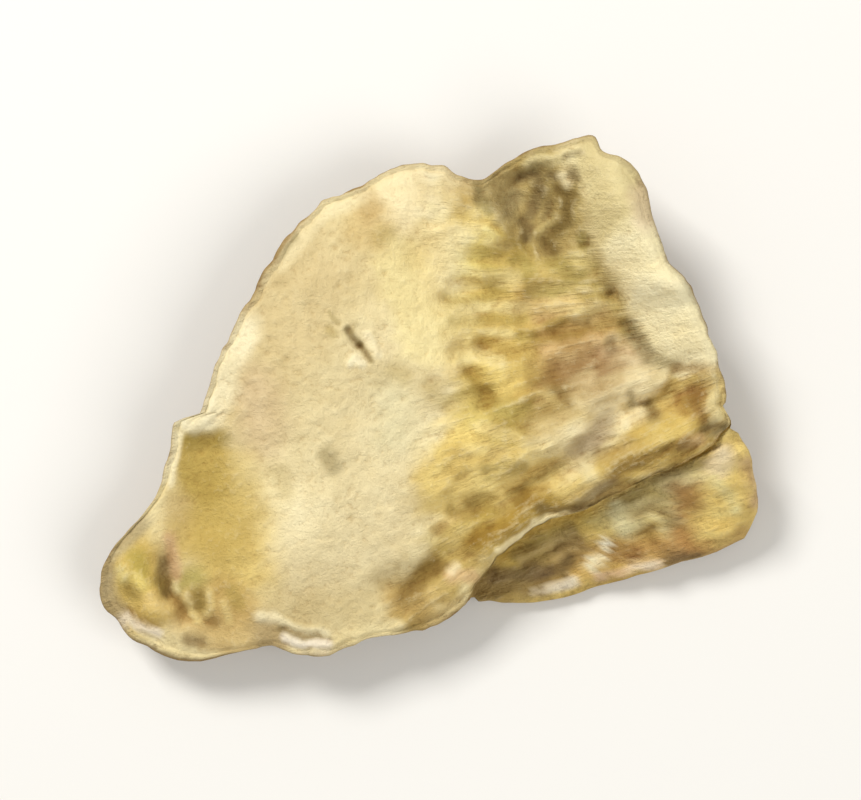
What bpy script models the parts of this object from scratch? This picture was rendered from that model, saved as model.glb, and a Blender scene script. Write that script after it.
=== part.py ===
"""A dried slice of chicory root, about 30 by 24 mm, lying with its cut face up.

The slice grew and was cut as one piece, so it is one closed solid. It is a block of
quads whose top becomes the cut face, whose sides become the bark wall and whose
bottom becomes the wrinkled skin, each moved to its place by the formulas below.
Lengths are in millimetres until the last step, which writes metres.
+X is the long way of the slice, +Y its narrow end's side, +Z up, and the origin is
under the middle of its box, on the surface that it rests on.
"""

import math

import bmesh
import bpy
import numpy as np

MM = 0.001

# How finely the block is divided
FACE_CELLS = 44
WALL_CELLS = 7

# The slice's thickness, in the middle and at the rim
BODY_THICK = 3.3
RIM_BEVEL = 1.3
BEVEL_SWAY = 0.55
RIM_BULGE = 0.45
BARK_HEIGHT = 0.35

# Where the slice is looked out from in polar terms
MIDDLE = (0.0, 0.5)

# The rim of the cut face, anticlockwise from the right end of the split lip
FACE_OUTLINE = (
    (13.5, -1.3), (13.3, -0.2), (12.95, 1.8), (12.3, 3.55), (11.65, 4.7), (11.1, 5.6),
    (10.5, 6.3), (10.1, 7.4), (9.75, 8.5), (9.4, 9.5), (8.7, 10.6), (7.65, 11.1),
    (7.2, 11.8), (5.8, 11.5), (4.4, 11.15), (3.5, 10.7), (2.7, 10.2), (1.8, 9.95),
    (1.0, 10.2), (0.2, 10.6), (-1.5, 10.5), (-2.8, 9.8),
    (-4.5, 9.1), (-5.8, 8.0), (-6.7, 6.8), (-7.3, 5.6), (-8.5, 3.9), (-9.5, 1.9),
    (-10.2, 0.2), (-10.5, -0.75), (-11.45, -0.95), (-11.7, -2.1), (-12.2, -3.9),
    (-13.2, -5.4), (-14.5, -6.9), (-15.0, -8.5), (-14.3, -10.1), (-12.9, -11.2),
    (-11.0, -11.9), (-9.2, -11.7), (-7.4, -11.3), (-6.0, -11.6), (-4.5, -11.5),
    (-3.0, -11.0), (-1.8, -10.8), (0.2, -10.2), (1.6, -9.2), (2.5, -8.1), (3.4, -7.2),
    (4.3, -6.4), (5.1, -5.9), (6.0, -5.5), (7.4, -5.0), (9.0, -4.2), (10.5, -3.4),
    (12.2, -2.6),
)

# The outer edge of the lobe of bark that spreads out below the lip
LOBE_EDGE = (
    (1.6, -9.3), (2.7, -9.35), (4.0, -9.4), (5.7, -9.2), (7.7, -8.7), (9.6, -8.1), (11.6, -7.5),
    (13.3, -7.1), (14.6, -6.5), (15.15, -5.2), (14.95, -3.8), (14.5, -2.4), (13.95, -1.3),
    (13.6, -0.3),
)
LOBE_THICK = 3.6
LIP_UNDERCUT = 0.45
LIP_GROOVE = 0.5
LIP_ANGLES = (-60, -45, -28, -18, -10)
LIP_DROPS = (0.46, 0.42, 0.26, 0.12, 0.04)

# Rim thickness round the slice, by angle in degrees from +X
RIM_ANGLES = (0, 50, 75, 95, 140, 178, 200, 218, 245, 275, 292, 315, 345)
RIM_THICKS = (2.4, 1.7, 2.3, 2.0, 1.7, 1.4, 1.7, 2.6, 2.2, 2.1, 2.6, 2.8, 2.7)

# Ridges and furrows of the cut face: a line, its half width and its height
FACE_FOLDS = (
    # pale rim that stands up along the right side, its thin end, and the furrow at its foot
    (((8.3, 10.7), (8.8, 8.9), (9.6, 7.0), (10.8, 5.0), (12.1, 2.7)), 1.4, 1.05),
    (((12.7, 1.4), (13.3, -0.6)), 0.6, 0.5),
    (((6.9, 7.4), (7.6, 6.0), (8.6, 4.2), (9.2, 2.4), (10.4, 1.2), (12.0, 1.1)), 0.6, -0.5),
    # striped hollow of bark between the top lobe and the pale rim
    (((4.4, 10.0), (4.9, 8.8), (5.3, 7.4)), 1.45, -1.35),
    # rounded lobe at the top
    (((-1.2, 9.0), (0.3, 8.8), (1.6, 7.9)), 1.5, 0.5),
    # broad furrow of the golden middle, and two wrinkles in it
    (((2.2, 4.6), (5.2, 3.9), (8.0, 3.4)), 2.1, -0.7),
    (((2.3, 2.4), (4.6, 2.1), (5.3, 2.6), (6.9, 3.3), (8.0, 3.8)), 0.55, -0.35),
    (((5.0, 1.2), (6.6, 1.5), (7.4, 1.9), (8.6, 2.2)), 0.6, -0.35),
    # pale saddle, the furrow below it, and the pleat beside the lip
    (((4.6, -2.2), (7.4, -0.5), (10.2, 1.0)), 1.1, 0.65),
    (((0.4, -5.3), (3.0, -4.7), (4.9, -3.8), (7.0, -2.4), (8.6, -1.1), (11.0, 0.1)), 0.8, -0.6),
    (((2.6, -6.9), (5.2, -4.4), (7.6, -3.4), (10.0, -2.1), (12.0, -1.2)), 0.7, 0.6),
    # stained hollow at the lower end of that furrow
    (((-1.7, -8.7), (-0.3, -7.8), (0.7, -6.6)), 0.9, -0.5),
    # lump at the lower left tip, and the slit beside it
    (((-13.5, -8.0), (-13.0, -9.4)), 1.3, 0.65),
    (((-12.2, -7.4), (-12.2, -8.8), (-11.4, -9.8)), 0.6, -0.5),
    # shallow ochre hollow inside the left edge
    (((-10.4, -2.4), (-10.2, -5.4)), 1.5, -0.4),
    # low swell of the smooth left half
    (((-5.6, 4.6), (-4.2, -4.4)), 3.0, 0.5),
    # crease that crosses the middle, and short pleats at the edge of the golden fibre
    (((1.1, 2.3), (1.8, 1.3), (2.3, 0.5), (2.5, -0.4)), 0.6, -0.4),
    (((0.8, 4.7), (3.2, 5.0)), 0.4, -0.25),
    (((2.3, 3.8), (4.3, 3.7)), 0.4, -0.25),
    (((2.3, 6.6), (4.3, 6.9)), 0.4, -0.25),
    (((7.5, 5.0), (8.6, 4.4)), 0.4, -0.25),
    (((6.7, 3.9), (7.8, 4.4)), 0.45, 0.3),
)

# Fine wrinkles of the right half run towards this point
WRINKLE_FOCUS = (25.8, 6.4)
WRINKLE_PITCH = 1.5
WRINKLE_LENGTH = 6.0
WRINKLE_HEIGHT = 0.5

# Wrinkles of the skin run along the root
ROOT_AXIS_DEG = 22.0
SKIN_PITCH = 2.2
SKIN_LENGTH = 9.0
SKIN_HEIGHT = 1.2
SKIN_SOFTNESS = 0.18

# The three low points that the slice rests on
FEET = ((-11.0, -7.8), (10.4, -4.6), (0.8, 6.6))
FOOT_CLEARANCE = 0.55
FOOT_PRESS = 0.45
FOOT_WIDTH = 1.6
FLOOR_SOFTNESS = 0.7

# Dried root flesh, as an average of its cream, straw and tan parts
FLESH_SRGB = (0.84, 0.75, 0.52)
FLESH_ROUGHNESS = 0.85


def smooth_step(t):
    """Rises from 0 to 1 as t does, flat at both ends."""
    t = np.clip(t, 0.0, 1.0)
    return t * t * (3.0 - 2.0 * t)


def bump(distance, half_width):
    """A round hump of height 1 that fades over half_width."""
    return np.exp(-((distance / half_width) ** 2))


def noise(x, y, z, seed):
    """Smooth random values from -1 to 1, changing over about one unit of x, y and z."""
    side = 32
    table = np.random.default_rng(seed).uniform(-1.0, 1.0, (side, side, side))
    cells = [np.floor(c).astype(int) for c in (x, y, z)]
    shares = [smooth_step(c - cell) for c, cell in zip((x, y, z), cells)]
    total = 0.0
    for corner in np.ndindex(2, 2, 2):
        weight = 1.0
        for share, high in zip(shares, corner):
            weight = weight * (share if high else 1.0 - share)
        at = tuple((cell + high) % side for cell, high in zip(cells, corner))
        total = total + weight * table[at]
    return total


def closed_curve(points, steps=12):
    """A smooth closed curve through the points, by the Catmull-Rom rule."""
    p = np.array(points)
    before, after, beyond = np.roll(p, 1, 0), np.roll(p, -1, 0), np.roll(p, -2, 0)
    t = np.linspace(0.0, 1.0, steps, endpoint=False)[None, :, None]
    a, b, c, d = (q[:, None, :] for q in (before, p, after, beyond))
    curve = 0.5 * (2 * b + (c - a) * t + (2 * a - 5 * b + 4 * c - d) * t**2
                   + (3 * b - a - 3 * c + d) * t**3)
    return curve.reshape(-1, 2)


def reach(curve, angle):
    """How far the curve is from the slice's middle, in each direction."""
    offset = np.asarray(curve) - MIDDLE
    angles = np.arctan2(offset[:, 1], offset[:, 0])
    return np.interp(angle, angles, np.hypot(offset[:, 0], offset[:, 1]), period=math.tau)


def lobe_reach(angle):
    """How far the lobe's edge is from the middle, or 0 in directions without a lobe."""
    offset = np.array(LOBE_EDGE) - MIDDLE
    angles = np.arctan2(offset[:, 1], offset[:, 0])
    distances = np.hypot(offset[:, 0], offset[:, 1])
    return np.interp(angle, angles, distances, left=0.0, right=0.0)


def distance_to(line, x, y):
    """Distance in plan from each point to a line of straight stretches."""
    nearest = np.full(np.shape(x), np.inf)
    for (x0, y0), (x1, y1) in zip(line[:-1], line[1:]):
        dx, dy = x1 - x0, y1 - y0
        share = np.clip(((x - x0) * dx + (y - y0) * dy) / (dx * dx + dy * dy), 0.0, 1.0)
        nearest = np.minimum(nearest, np.hypot(x - x0 - share * dx, y - y0 - share * dy))
    return nearest


def warp_of_slice(x, y):
    """The curl that the slice took as it dried: a low dome with raised right and top corners."""
    dome = 1.5 * (1.0 - (x / 15.0) ** 2 - 0.7 * (y / 12.0) ** 2)
    right = 2.2 * smooth_step((x - 4.0) / 10.0)
    corner = 1.7 * smooth_step((0.55 * x + 0.83 * y - 7.0) / 6.5)
    left = 0.7 * smooth_step((-x - 6.0) / 7.0) * smooth_step((y + 4.0) / 6.0)
    return dome + right + corner + left


def face_relief(x, y):
    """Folds, wrinkles and lumps of the cut face."""
    sway_x = 0.4 * noise(x / 2.3, y / 2.3, 0.0 * x, 11)
    sway_y = 0.4 * noise(x / 2.3, y / 2.3, 0.0 * x, 12)
    height = 0.0
    for line, half_width, rise in FACE_FOLDS:
        height = height + rise * bump(distance_to(line, x + sway_x, y + sway_y), half_width)
    from_focus = (x - WRINKLE_FOCUS[0], y - WRINKLE_FOCUS[1])
    away = np.hypot(*from_focus)
    across = np.arctan2(*from_focus[::-1]) % math.tau * 20.0
    wrinkle = noise(away / WRINKLE_LENGTH, across / WRINKLE_PITCH, 0.0 * x, 13)
    height = height + WRINKLE_HEIGHT * wrinkle * smooth_step((x + 1.0) / 5.0)
    return height + 0.12 * noise(x / 3.5, y / 3.5, 0.0 * x, 14)


def skin_relief(x, y):
    """Wrinkles of the skin, as crests that run along the root."""
    turn = math.radians(ROOT_AXIS_DEG)
    along = x * math.cos(turn) + y * math.sin(turn)
    across = y * math.cos(turn) - x * math.sin(turn)
    sway = 0.8 * noise(along / 5.0, across / 5.0, 0.0 * x, 21)
    fold = noise(along / SKIN_LENGTH, (across + sway) / SKIN_PITCH, 0.0 * x, 22)
    crest = np.sqrt(fold**2 + SKIN_SOFTNESS**2)
    return SKIN_HEIGHT * (crest - 0.3) + 0.2 * noise(x / 4.0, y / 4.0, 0.0 * x, 23)


def rim_thickness(angle):
    """Thickness of the slice at its rim."""
    plain = np.interp(np.degrees(angle), RIM_ANGLES, RIM_THICKS, period=360.0)
    return plain + (LOBE_THICK - plain) * lobe_share(angle)


def lobe_share(angle):
    """1 where the wall spreads out into the lobe, 0 where it is plain."""
    spread = lobe_reach(angle) - reach(closed_curve(FACE_OUTLINE), angle)
    return smooth_step((spread + 0.1) / 0.8)


def base_reach(angle):
    """How far the skin under the slice reaches: inside the face's rim, or out to the lobe's edge."""
    sway = noise(2.0 * np.cos(angle), 2.0 * np.sin(angle), 0.0 * angle, 24)
    inner = reach(closed_curve(FACE_OUTLINE), angle) - RIM_BEVEL - BEVEL_SWAY * sway
    return inner + (lobe_reach(angle) - 0.3 - inner) * lobe_share(angle)


def even_reach(angle):
    """The face's reach with its corners and notches averaged out, for the points inside the rim."""
    face = closed_curve(FACE_OUTLINE)
    turns = np.radians(np.linspace(-28.0, 28.0, 15))
    return sum(reach(face, angle + turn) for turn in turns) / len(turns)


def spread_out(share, even, rim):
    """Distance from the middle: even inside, and following the rim's own corners near it."""
    return share * even + share**4 * (rim - even)


def skin_height(x, y):
    """Height of the skin under the slice, before it is levelled on its feet."""
    angle = np.arctan2(y - MIDDLE[1], x - MIDDLE[0])
    share = np.hypot(x - MIDDLE[0], y - MIDDLE[1]) / base_reach(angle)
    rim = rim_thickness(angle)
    thick = rim + (BODY_THICK - rim) * (1.0 - np.minimum(share, 1.0) ** 3)
    return warp_of_slice(x, y) - thick + skin_relief(x, y) * (1.0 - 0.5 * share**4)


def resting_plane():
    """The plane through the skin at the three feet, as heights a + b x + c y."""
    x, y = np.array(FEET).T
    return np.linalg.solve(np.column_stack([np.ones(3), x, y]), skin_height(x, y))


def round_off(u, v):
    """Turns the block's square into a disc: share of the way out, and angle.

    It is halfway between two such turns. One keeps the rings of cells evenly spaced, and the
    other keeps the cells by the square's diagonals from being flattened."""
    wide = np.abs(u) > np.abs(v)
    long_side = np.where(wide, u, v)
    slant = math.pi / 4.0 * np.where(wide, v, u) / np.where(long_side == 0.0, 1.0, long_side)
    turn = np.where(wide, slant, math.pi / 2.0 - slant)
    even_x, even_y = long_side * np.cos(turn), long_side * np.sin(turn)
    open_x, open_y = u * np.sqrt(1.0 - v * v / 2.0), v * np.sqrt(1.0 - u * u / 2.0)
    share = (np.abs(long_side) + np.hypot(open_x, open_y)) / 2.0
    return share, np.arctan2(even_y + open_y, even_x + open_x)


def from_middle(distance, angle):
    """The point at a distance and angle from the slice's middle."""
    return MIDDLE[0] + distance * np.cos(angle), MIDDLE[1] + distance * np.sin(angle)


def place(block):
    """Carries the points of the block, from -1 to 1 each way, to the slice."""
    u, v, level = block.T
    share, angle = round_off(u, v)
    down = (1.0 - level) / 2.0

    face, base = reach(closed_curve(FACE_OUTLINE), angle), base_reach(angle)
    even = even_reach(angle)
    lobe = lobe_share(angle)
    plain_out = face + (base - face) * smooth_step(down) + RIM_BULGE * np.sin(math.pi * down)
    lobe_out = (face + (base - face) * smooth_step((down - 0.2) / 0.6)
                - LIP_UNDERCUT * bump(down - 0.17, 0.1) + 0.3 * bump(down - 0.85, 0.15))
    bark = noise(2.6 * np.cos(angle) * face / 6.0, 2.6 * np.sin(angle) * face / 6.0, 1.6 * down, 25)
    wall = plain_out + (lobe_out - plain_out) * lobe + BARK_HEIGHT * bark * np.sin(math.pi * down)
    x, y = from_middle(spread_out(share, even, wall), angle)
    top_x, top_y = from_middle(spread_out(share, even, face), angle)
    top = warp_of_slice(top_x, top_y) + face_relief(top_x, top_y)
    bottom = skin_height(*from_middle(spread_out(share, even, base), angle))
    lip = np.interp(np.degrees(angle), LIP_ANGLES, LIP_DROPS)
    lobe_drop = (lip * smooth_step(down / 0.3) + 0.12 * smooth_step((down - 0.3) / 0.45)
                 + (0.88 - lip) * smooth_step((down - 0.7) / 0.3))
    drop = down + (lobe_drop - down) * lobe
    z = top + (bottom - top) * drop - LIP_GROOVE * lobe * bump(down - 0.15, 0.07)

    a, b, c = resting_plane()
    z = z - (a + b * x + c * y) + FOOT_CLEARANCE
    z = 0.5 * (z + np.sqrt(z * z + FLOOR_SOFTNESS**2))
    for foot in FEET:
        press = (FOOT_CLEARANCE + FOOT_PRESS) * bump(np.hypot(x - foot[0], y - foot[1]), FOOT_WIDTH)
        z = z - press * (down > 0.99)
    return np.column_stack([x, y, np.maximum(z, 0.0)])


def divided_block():
    """A cube of side 2, divided finely over its top and bottom and coarsely down its sides."""
    block = bmesh.new()
    bmesh.ops.create_cube(block, size=2.0)
    level = [e for e in block.edges if abs(e.verts[0].co.z - e.verts[1].co.z) < 0.1]
    bmesh.ops.subdivide_edges(block, edges=level, cuts=FACE_CELLS - 1, use_grid_fill=True)
    upright = [e for e in block.edges if abs(e.verts[0].co.z - e.verts[1].co.z) > 1.9]
    bmesh.ops.subdivide_edges(block, edges=upright, cuts=WALL_CELLS - 1, use_grid_fill=True)
    return block


def centred(points):
    """Moves the points so that the middle of their box is over the origin."""
    middle = (points.min(axis=0) + points.max(axis=0)) / 2.0
    return points - (middle[0], middle[1], 0.0)


def flesh_material():
    """Dried root flesh: straw coloured and matt."""
    material = bpy.data.materials.new("dried_root_flesh")
    material.use_nodes = True
    shader = material.node_tree.nodes["Principled BSDF"]
    shader.inputs["Base Color"].default_value = [c**2.2 for c in FLESH_SRGB] + [1.0]
    shader.inputs["Roughness"].default_value = FLESH_ROUGHNESS
    shader.inputs["Metallic"].default_value = 0.0
    return material


def root_slice(collection):
    """The whole slice as one object."""
    block = divided_block()
    places = centred(place(np.array([v.co for v in block.verts])))
    for vertex, at in zip(block.verts, places):
        vertex.co = at * MM
    bmesh.ops.recalc_face_normals(block, faces=block.faces)
    mesh = bpy.data.meshes.new("chicory_root_slice")
    block.to_mesh(mesh)
    block.free()
    mesh.shade_smooth()
    mesh.set_sharp_from_angle(angle=math.radians(65.0))
    mesh.materials.append(flesh_material())
    slice_object = bpy.data.objects.new("chicory_root_slice", mesh)
    collection.objects.link(slice_object)
    return slice_object


def main():
    for old in list(bpy.data.objects):
        bpy.data.objects.remove(old, do_unlink=True)
    collection = bpy.data.collections.new("dried_chicory_root")
    bpy.context.scene.collection.children.link(collection)
    root_slice(collection)


main()
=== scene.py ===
import math

import bpy
import numpy as np
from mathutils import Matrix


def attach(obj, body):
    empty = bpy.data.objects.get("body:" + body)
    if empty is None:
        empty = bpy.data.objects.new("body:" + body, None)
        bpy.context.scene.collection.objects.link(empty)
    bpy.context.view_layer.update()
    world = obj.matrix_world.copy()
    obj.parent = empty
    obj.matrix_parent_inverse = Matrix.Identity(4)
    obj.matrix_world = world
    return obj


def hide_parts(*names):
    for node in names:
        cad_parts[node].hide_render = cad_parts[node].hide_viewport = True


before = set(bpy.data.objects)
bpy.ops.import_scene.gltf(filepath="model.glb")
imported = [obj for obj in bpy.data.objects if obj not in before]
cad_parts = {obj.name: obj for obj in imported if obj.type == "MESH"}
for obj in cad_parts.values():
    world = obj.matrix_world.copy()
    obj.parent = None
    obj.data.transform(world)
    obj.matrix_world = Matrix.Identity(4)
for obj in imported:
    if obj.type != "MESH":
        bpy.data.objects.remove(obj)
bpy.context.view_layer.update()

# The slice's plan
# One slice of dried chicory root, flesh and skin grown and cut as one piece. Lengths are in
# millimetres: +X the long way, +Y its narrow end, +Z up out of the cut face. The rim of the cut
# face and the edge of the lobe of bark that spreads out below its split lip are drawn in plan.
MM = 0.001
MIDDLE = (0.0, 0.5)
FACE_OUTLINE = (
    (13.5, -1.3), (13.3, -0.2), (12.95, 1.8), (12.3, 3.55), (11.65, 4.7), (11.1, 5.6),
    (10.5, 6.3), (10.1, 7.4), (9.75, 8.5), (9.4, 9.5), (8.7, 10.6), (7.65, 11.1),
    (7.2, 11.8), (5.8, 11.5), (4.4, 11.15), (3.5, 10.7), (2.7, 10.2), (1.8, 9.95),
    (1.0, 10.2), (0.2, 10.6), (-1.5, 10.5), (-2.8, 9.8),
    (-4.5, 9.1), (-5.8, 8.0), (-6.7, 6.8), (-7.3, 5.6), (-8.5, 3.9), (-9.5, 1.9),
    (-10.2, 0.2), (-10.5, -0.75), (-11.45, -0.95), (-11.7, -2.1), (-12.2, -3.9),
    (-13.2, -5.4), (-14.5, -6.9), (-15.0, -8.5), (-14.3, -10.1), (-12.9, -11.2),
    (-11.0, -11.9), (-9.2, -11.7), (-7.4, -11.3), (-6.0, -11.6), (-4.5, -11.5),
    (-3.0, -11.0), (-1.8, -10.8), (0.2, -10.2), (1.6, -9.2), (2.5, -8.1), (3.4, -7.2),
    (4.3, -6.4), (5.1, -5.9), (6.0, -5.5), (7.4, -5.0), (9.0, -4.2), (10.5, -3.4),
    (12.2, -2.6),
)
LOBE_EDGE = (
    (1.6, -9.3), (2.7, -9.35), (4.0, -9.4), (5.7, -9.2), (7.7, -8.7), (9.6, -8.1), (11.6, -7.5),
    (13.3, -7.1), (14.6, -6.5), (15.15, -5.2), (14.95, -3.8), (14.5, -2.4), (13.95, -1.3),
    (13.6, -0.3),
)


def smooth_step(t):
    """Rises from 0 to 1 as t does, flat at both ends: 3 t squared less 2 t cubed."""
    t = np.clip(t, 0.0, 1.0)
    return t * t * (3.0 - 2.0 * t)


def bump(distance, half_width):
    """A round hump of height 1: e to the minus square of distance over half width."""
    return np.exp(-((distance / half_width) ** 2))


def noise(x, y, z, seed):
    """Smooth random values from -1 to 1: a cube of random numbers, read between its points."""
    side = 32
    table = np.random.default_rng(seed).uniform(-1.0, 1.0, (side, side, side))
    cells = [np.floor(c).astype(int) for c in (x, y, z)]
    shares = [smooth_step(c - cell) for c, cell in zip((x, y, z), cells)]
    total = 0.0
    for corner in np.ndindex(2, 2, 2):
        weight = 1.0
        for share, high in zip(shares, corner):
            weight = weight * (share if high else 1.0 - share)
        at = tuple((cell + high) % side for cell, high in zip(cells, corner))
        total = total + weight * table[at]
    return total


def plan_noise(x, y, length, width, seed):
    """Noise in plan, with patches about so many mm long and wide."""
    return noise(x / length, y / width, 0.0 * x, seed)


def layered(x, y, z, layers):
    """Noises added up. A layer is its height, its length, width and depth in mm, and a seed."""
    return sum(height * noise(x / length, y / width, z / depth, seed)
               for height, length, width, depth, seed in layers)


def closed_curve(points, steps=12):
    """A smooth closed curve through the points: the Catmull-Rom cubic between each pair."""
    p = np.array(points)
    before, after, beyond = np.roll(p, 1, 0), np.roll(p, -1, 0), np.roll(p, -2, 0)
    t = np.linspace(0.0, 1.0, steps, endpoint=False)[None, :, None]
    a, b, c, d = (q[:, None, :] for q in (before, p, after, beyond))
    curve = 0.5 * (2 * b + (c - a) * t + (2 * a - 5 * b + 4 * c - d) * t**2
                   + (3 * b - a - 3 * c + d) * t**3)
    return curve.reshape(-1, 2)


def reach(curve, angle, **ends):
    """Distance from the middle to the curve, read between its points by their angles."""
    offset = np.asarray(curve) - MIDDLE
    angles = np.arctan2(offset[:, 1], offset[:, 0])
    return np.interp(angle, angles, np.hypot(offset[:, 0], offset[:, 1]), **ends)


def face_reach(angle):
    """Distance from the middle to the rim of the cut face."""
    return reach(closed_curve(FACE_OUTLINE), angle, period=math.tau)


def lobe_reach(angle):
    """Distance from the middle to the lobe's edge, or 0 in directions without a lobe."""
    return reach(LOBE_EDGE, angle, left=0.0, right=0.0)


def distance_to(line, x, y):
    """Distance in plan from each point to a line of straight stretches."""
    nearest = np.full(np.shape(x), np.inf)
    for (x0, y0), (x1, y1) in zip(line[:-1], line[1:]):
        dx, dy = x1 - x0, y1 - y0
        share = np.clip(((x - x0) * dx + (y - y0) * dy) / (dx * dx + dy * dy), 0.0, 1.0)
        nearest = np.minimum(nearest, np.hypot(x - x0 - share * dx, y - y0 - share * dy))
    return nearest


# The cut face's form
# Flesh shrinks unevenly as it dries, so the knife's flat cut became a low dome with a raised
# corner, a curled pale rim on the right, pleats beside the lip and a bark hollow at the top.
FACE_FOLDS = (
    # pale rim that stands up along the right side, its thin end, and the furrow at its foot
    (((8.3, 10.7), (8.8, 8.9), (9.6, 7.0), (10.8, 5.0), (12.1, 2.7)), 1.4, 1.05),
    (((12.7, 1.4), (13.3, -0.6)), 0.6, 0.5),
    (((6.9, 7.4), (7.6, 6.0), (8.6, 4.2), (9.2, 2.4), (10.4, 1.2), (12.0, 1.1)), 0.6, -0.5),
    # striped hollow of bark between the top lobe and the pale rim
    (((4.4, 10.0), (4.9, 8.8), (5.3, 7.4)), 1.45, -1.35),
    # rounded lobe at the top
    (((-1.2, 9.0), (0.3, 8.8), (1.6, 7.9)), 1.5, 0.5),
    # broad furrow of the golden middle, and two wrinkles in it
    (((2.2, 4.6), (5.2, 3.9), (8.0, 3.4)), 2.1, -0.7),
    (((2.3, 2.4), (4.6, 2.1), (5.3, 2.6), (6.9, 3.3), (8.0, 3.8)), 0.55, -0.35),
    (((5.0, 1.2), (6.6, 1.5), (7.4, 1.9), (8.6, 2.2)), 0.6, -0.35),
    # pale saddle, the furrow below it, and the pleat beside the lip
    (((4.6, -2.2), (7.4, -0.5), (10.2, 1.0)), 1.1, 0.65),
    (((0.4, -5.3), (3.0, -4.7), (4.9, -3.8), (7.0, -2.4), (8.6, -1.1), (11.0, 0.1)), 0.8, -0.6),
    (((2.6, -6.9), (5.2, -4.4), (7.6, -3.4), (10.0, -2.1), (12.0, -1.2)), 0.7, 0.6),
    # stained hollow at the lower end of that furrow
    (((-1.7, -8.7), (-0.3, -7.8), (0.7, -6.6)), 0.9, -0.5),
    # lump at the lower left tip, and the slit beside it
    (((-13.5, -8.0), (-13.0, -9.4)), 1.3, 0.65),
    (((-12.2, -7.4), (-12.2, -8.8), (-11.4, -9.8)), 0.6, -0.5),
    # shallow ochre hollow inside the left edge
    (((-10.4, -2.4), (-10.2, -5.4)), 1.5, -0.4),
    # low swell of the smooth left half
    (((-5.6, 4.6), (-4.2, -4.4)), 3.0, 0.5),
    # crease that crosses the middle, and short pleats at the edge of the golden fibre
    (((1.1, 2.3), (1.8, 1.3), (2.3, 0.5), (2.5, -0.4)), 0.6, -0.4),
    (((0.8, 4.7), (3.2, 5.0)), 0.4, -0.25),
    (((2.3, 3.8), (4.3, 3.7)), 0.4, -0.25),
    (((2.3, 6.6), (4.3, 6.9)), 0.4, -0.25),
    (((7.5, 5.0), (8.6, 4.4)), 0.4, -0.25),
    (((6.7, 3.9), (7.8, 4.4)), 0.45, 0.3),
)
HALF_LENGTH, HALF_WIDTH = 15.0, 12.0
DOME_RISE, RIGHT_RISE, CORNER_RISE, LEFT_RISE = 1.5, 2.2, 1.7, 0.7
WRINKLE_FOCUS = (25.8, 6.4)
WRINKLE_PITCH = 1.5
WRINKLE_LENGTH = 6.0
WRINKLE_HEIGHT = 0.5
GRAIN_RADIUS = 20.0
FOLD_SWAY, FOLD_SWAY_PITCH = 0.4, 2.3
SWELL_HEIGHT, SWELL_PITCH = 0.12, 3.5


def warp_of_slice(x, y):
    """The curl it took in drying: a dome, less x and y squared, plus three raised edges."""
    dome = DOME_RISE * (1.0 - (x / HALF_LENGTH) ** 2 - 0.7 * (y / HALF_WIDTH) ** 2)
    right = RIGHT_RISE * smooth_step((x - 4.0) / 10.0)
    corner = CORNER_RISE * smooth_step((0.55 * x + 0.83 * y - 7.0) / 6.5)
    left = LEFT_RISE * smooth_step((-x - 6.0) / 7.0) * smooth_step((y + 4.0) / 6.0)
    return dome + right + corner + left


def grain(x, y):
    """Distance along and across the fibres, in mm, which all run towards one far point.

    Across is the angle at that point times GRAIN_RADIUS."""
    from_focus = (x - WRINKLE_FOCUS[0], y - WRINKLE_FOCUS[1])
    return np.hypot(*from_focus), np.arctan2(*from_focus[::-1]) % math.tau * GRAIN_RADIUS


def face_relief(x, y):
    """The folds, as humps round their lines, plus wrinkles along the fibres and low swells."""
    sway_x = FOLD_SWAY * plan_noise(x, y, FOLD_SWAY_PITCH, FOLD_SWAY_PITCH, 11)
    sway_y = FOLD_SWAY * plan_noise(x, y, FOLD_SWAY_PITCH, FOLD_SWAY_PITCH, 12)
    height = 0.0
    for line, half_width, rise in FACE_FOLDS:
        height = height + rise * bump(distance_to(line, x + sway_x, y + sway_y), half_width)
    away, across = grain(x, y)
    wrinkle = plan_noise(away, across, WRINKLE_LENGTH, WRINKLE_PITCH, 13)
    height = height + WRINKLE_HEIGHT * wrinkle * smooth_step((x + 1.0) / 5.0)
    return height + SWELL_HEIGHT * plan_noise(x, y, SWELL_PITCH, SWELL_PITCH, 14)


# The skin's form
# The underside is the root's own brown skin, shrunk into wrinkles that run along the root. It
# comes up as a thin wall of bark round the rim, and rests on three low points.
BODY_THICK = 3.3
RIM_BEVEL = 1.3
BEVEL_SWAY = 0.55
RIM_BULGE = 0.45
BARK_HEIGHT = 0.35
LOBE_THICK = 3.6
LIP_UNDERCUT = 0.45
LIP_GROOVE = 0.5
LIP_ANGLES = (-60, -45, -28, -18, -10)
LIP_DROPS = (0.46, 0.42, 0.26, 0.12, 0.04)
RIM_ANGLES = (0, 50, 75, 95, 140, 178, 200, 218, 245, 275, 292, 315, 345)
RIM_THICKS = (2.4, 1.7, 2.3, 2.0, 1.7, 1.4, 1.7, 2.6, 2.2, 2.1, 2.6, 2.8, 2.7)
ROOT_AXIS_DEG = 22.0
SKIN_PITCH = 2.2
SKIN_LENGTH = 9.0
SKIN_HEIGHT = 1.2
SKIN_SOFTNESS = 0.18
SKIN_SWAY, SKIN_SWAY_PITCH = 0.8, 5.0
SKIN_SWELL, SKIN_SWELL_PITCH = 0.2, 4.0
EVEN_SPREAD_DEG = 28.0
EVEN_SAMPLES = 15
FEET = ((-11.0, -7.8), (10.4, -4.6), (0.8, 6.6))
FOOT_CLEARANCE = 0.55
FOOT_PRESS = 0.45
FOOT_WIDTH = 1.6
FLOOR_SOFTNESS = 0.7


def root_grain(x, y):
    """Distance along and across the root, by a turn of the plan."""
    turn = math.radians(ROOT_AXIS_DEG)
    return x * math.cos(turn) + y * math.sin(turn), y * math.cos(turn) - x * math.sin(turn)


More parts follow.
